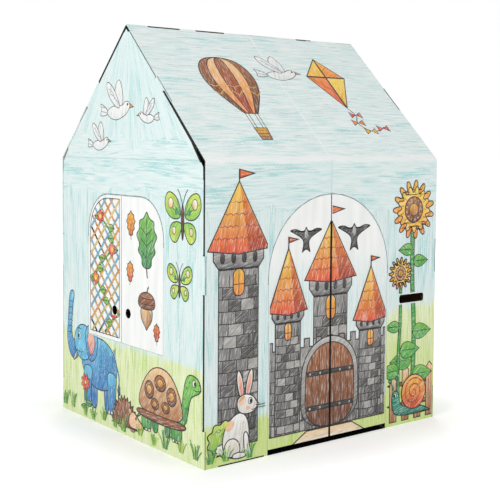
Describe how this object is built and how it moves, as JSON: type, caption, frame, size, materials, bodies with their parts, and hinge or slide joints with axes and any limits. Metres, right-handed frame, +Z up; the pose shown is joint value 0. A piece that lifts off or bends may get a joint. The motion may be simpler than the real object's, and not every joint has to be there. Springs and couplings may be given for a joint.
{
  "type": "cardboard playhouse",
  "caption": "Child-size playhouse of folded corrugated board with a pitched roof, round-headed double doors, a letter slot and shuttered gable windows, printed outside.",
  "frame": {"origin": "on the floor at the middle of the house's footprint", "axes": "+Z up, +X along the front wall to the viewer's right as one faces the doors, -Y out of the doors"},
  "size_m": [0.87, 0.78, 1.18],
  "materials": {
    "sheet_board": "matte",
    "leaf_board": "matte"
  },
  "bodies": {
    "house": {"front_sheet": "sheet_board", "rear_sheet": "sheet_board", "left_gable": "sheet_board", "right_gable": "sheet_board"},
    "left_door": {"left_door": "leaf_board"},
    "right_door": {"right_door": "leaf_board"},
    "left_front_shutter": {"left_front_shutter": "leaf_board"},
    "left_rear_shutter": {"left_rear_shutter": "leaf_board"},
    "right_front_shutter": {"right_front_shutter": "leaf_board"},
    "right_rear_shutter": {"right_rear_shutter": "leaf_board"}
  },
  "joints": [
    {"name": "left_door_crease", "type": "hinge", "parent": "house", "child": "left_door", "pos_m": [-0.2247, -0.39, 0.35], "axis": [0, 0, -1], "range_deg": [0, 150]},
    {"name": "right_door_crease", "type": "hinge", "parent": "house", "child": "right_door", "pos_m": [0.2247, -0.39, 0.35], "axis": [0, 0, 1], "range_deg": [0, 150]},
    {"name": "left_front_shutter_crease", "type": "hinge", "parent": "house", "child": "left_front_shutter", "pos_m": [-0.435, -0.1947, 0.45], "axis": [0, 0, 1], "range_deg": [0, 150]},
    {"name": "left_rear_shutter_crease", "type": "hinge", "parent": "house", "child": "left_rear_shutter", "pos_m": [-0.435, 0.2187, 0.45], "axis": [0, 0, -1], "range_deg": [0, 150]},
    {"name": "right_front_shutter_crease", "type": "hinge", "parent": "house", "child": "right_front_shutter", "pos_m": [0.435, -0.2187, 0.45], "axis": [0, 0, -1], "range_deg": [0, 150]},
    {"name": "right_rear_shutter_crease", "type": "hinge", "parent": "house", "child": "right_rear_shutter", "pos_m": [0.435, 0.1947, 0.45], "axis": [0, 0, 1], "range_deg": [0, 150]}
  ]
}
